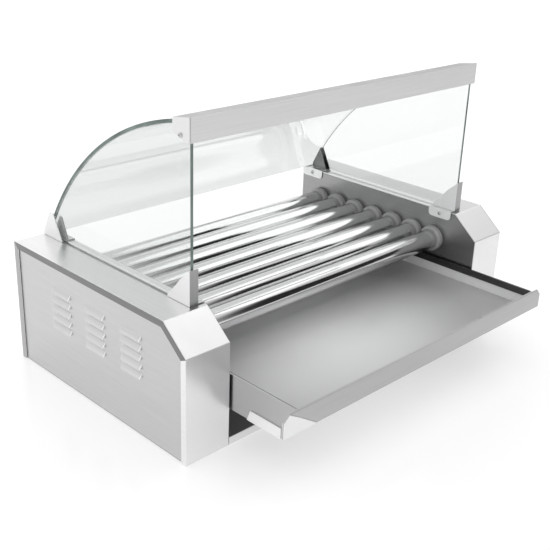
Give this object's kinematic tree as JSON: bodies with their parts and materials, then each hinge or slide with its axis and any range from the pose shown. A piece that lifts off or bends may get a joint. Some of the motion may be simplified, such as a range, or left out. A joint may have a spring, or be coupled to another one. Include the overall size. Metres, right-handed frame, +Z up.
{
  "type": "hot dog roller grill",
  "caption": "Countertop hot dog grill with heated rollers between steel housings, a curved glass hood and a pull-out drip tray.",
  "frame": {"origin": "on the underside of the base, in the middle of the casing's footprint", "axes": "+X along the rollers towards the side with the controls, +Y from the user to the back, +Z up"},
  "size_m": [0.5962, 0.4425, 0.3679],
  "materials": {
    "brushed_steel": "brushed stainless steel",
    "dull_steel": "dull sheet steel",
    "polished_steel": "polished stainless steel",
    "grey_collar": "matte grey heat-resistant plastic",
    "clear_glass": "clear tempered glass with a faint green edge",
    "black_plastic": "black satin plastic",
    "red_plastic": "glossy translucent red plastic",
    "grey_paint": "grey painted metal"
  },
  "bodies": {
    "casing": {"back_panel": "brushed_steel", "base_pan": "dull_steel", "cable_gland": "black_plastic", "curved_glass": "clear_glass", "drive_chain": "dull_steel", "gear_motor": "grey_paint", "heater_bank": "dull_steel", "left_back_bracket": "brushed_steel", "left_bar_cap": "brushed_steel", "left_bushing_1": "grey_collar", "left_bushing_2": "grey_collar", "left_bushing_3": "grey_collar", "left_bushing_4": "grey_collar", "left_bushing_5": "grey_collar", "left_bushing_6": "grey_collar", "left_bushing_7": "grey_collar", "left_front_bracket": "brushed_steel", "left_inner_wall": "brushed_steel", "left_shell": "brushed_steel", "left_side_glass": "clear_glass", "left_side_panel": "brushed_steel", "pilot_lamp": "red_plastic", "right_back_bracket": "brushed_steel", "right_bar_cap": "brushed_steel", "right_bushing_1": "grey_collar", "right_bushing_2": "grey_collar", "right_bushing_3": "grey_collar", "right_bushing_4": "grey_collar", "right_bushing_5": "grey_collar", "right_bushing_6": "grey_collar", "right_bushing_7": "grey_collar", "right_front_bracket": "brushed_steel", "right_inner_wall": "brushed_steel", "right_shell": "brushed_steel", "right_side_glass": "clear_glass", "right_side_panel": "brushed_steel", "switch_frame_1": "black_plastic", "switch_frame_2": "black_plastic", "thermostat_block": "grey_paint", "top_bar": "brushed_steel"},
    "roller_1": {"roller_1": "polished_steel", "sprocket_1": "dull_steel"},
    "roller_2": {"roller_2": "polished_steel", "sprocket_2": "dull_steel"},
    "roller_3": {"roller_3": "polished_steel", "sprocket_3": "dull_steel"},
    "roller_4": {"roller_4": "polished_steel", "sprocket_4": "dull_steel"},
    "roller_5": {"roller_5": "polished_steel", "sprocket_5": "dull_steel"},
    "roller_6": {"roller_6": "polished_steel", "sprocket_6": "dull_steel"},
    "roller_7": {"roller_7": "polished_steel", "sprocket_7": "dull_steel"},
    "motor_output": {"drive_sprocket": "dull_steel"},
    "tray": {"drip_tray": "brushed_steel"},
    "knob_1": {"thermostat_knob_1": "black_plastic"},
    "rocker_1": {"switch_rocker_1": "red_plastic"},
    "knob_2": {"thermostat_knob_2": "black_plastic"},
    "rocker_2": {"switch_rocker_2": "red_plastic"}
  },
  "joints": [
    {"name": "roller_1_spin", "type": "hinge", "parent": "casing", "child": "roller_1", "pos_m": [0, -0.095, 0.1166], "axis": [1, 0, 0], "continuous": true},
    {"name": "roller_2_spin", "type": "hinge", "parent": "casing", "child": "roller_2", "pos_m": [0, -0.0583, 0.1166], "axis": [1, 0, 0], "continuous": true},
    {"name": "roller_3_spin", "type": "hinge", "parent": "casing", "child": "roller_3", "pos_m": [0, -0.0216, 0.1166], "axis": [1, 0, 0], "continuous": true},
    {"name": "roller_4_spin", "type": "hinge", "parent": "casing", "child": "roller_4", "pos_m": [0, 0.0151, 0.1166], "axis": [1, 0, 0], "continuous": true},
    {"name": "roller_5_spin", "type": "hinge", "parent": "casing", "child": "roller_5", "pos_m": [0, 0.0518, 0.1166], "axis": [1, 0, 0], "continuous": true},
    {"name": "roller_6_spin", "type": "hinge", "parent": "casing", "child": "roller_6", "pos_m": [0, 0.0885, 0.1166], "axis": [1, 0, 0], "continuous": true},
    {"name": "roller_7_spin", "type": "hinge", "parent": "casing", "child": "roller_7", "pos_m": [0, 0.1252, 0.1166], "axis": [1, 0, 0], "continuous": true},
    {"name": "motor_spin", "type": "hinge", "parent": "casing", "child": "motor_output", "pos_m": [-0.241, 0.015, 0.062], "axis": [1, 0, 0], "continuous": true},
    {"name": "tray_slide", "type": "slide", "parent": "casing", "child": "tray", "axis": [0, -1, 0], "range_m": [-0.097, 0.1]},
    {"name": "knob_1_turn", "type": "hinge", "parent": "casing", "child": "knob_1", "pos_m": [0.2885, -0.104, 0.092], "axis": [1, 0, 0], "range_deg": [0, 270]},
    {"name": "knob_2_turn", "type": "hinge", "parent": "casing", "child": "knob_2", "pos_m": [0.2885, -0.05, 0.092], "axis": [1, 0, 0], "range_deg": [0, 270]},
    {"name": "rocker_1_tilt", "type": "hinge", "parent": "casing", "child": "rocker_1", "pos_m": [0.287, -0.104, 0.047], "axis": [0, 0, 1], "range_deg": [0, 12]},
    {"name": "rocker_2_tilt", "type": "hinge", "parent": "casing", "child": "rocker_2", "pos_m": [0.287, -0.05, 0.047], "axis": [0, 0, 1], "range_deg": [0, 12]}
  ],
  "couplings": [
    {"joint": "roller_2_spin", "follows": "roller_1_spin", "ratio": 1},
    {"joint": "roller_3_spin", "follows": "roller_1_spin", "ratio": 1},
    {"joint": "roller_4_spin", "follows": "roller_1_spin", "ratio": 1},
    {"joint": "roller_5_spin", "follows": "roller_1_spin", "ratio": 1},
    {"joint": "roller_6_spin", "follows": "roller_1_spin", "ratio": 1},
    {"joint": "roller_7_spin", "follows": "roller_1_spin", "ratio": 1},
    {"joint": "motor_spin", "follows": "roller_1_spin", "ratio": 1}
  ]
}
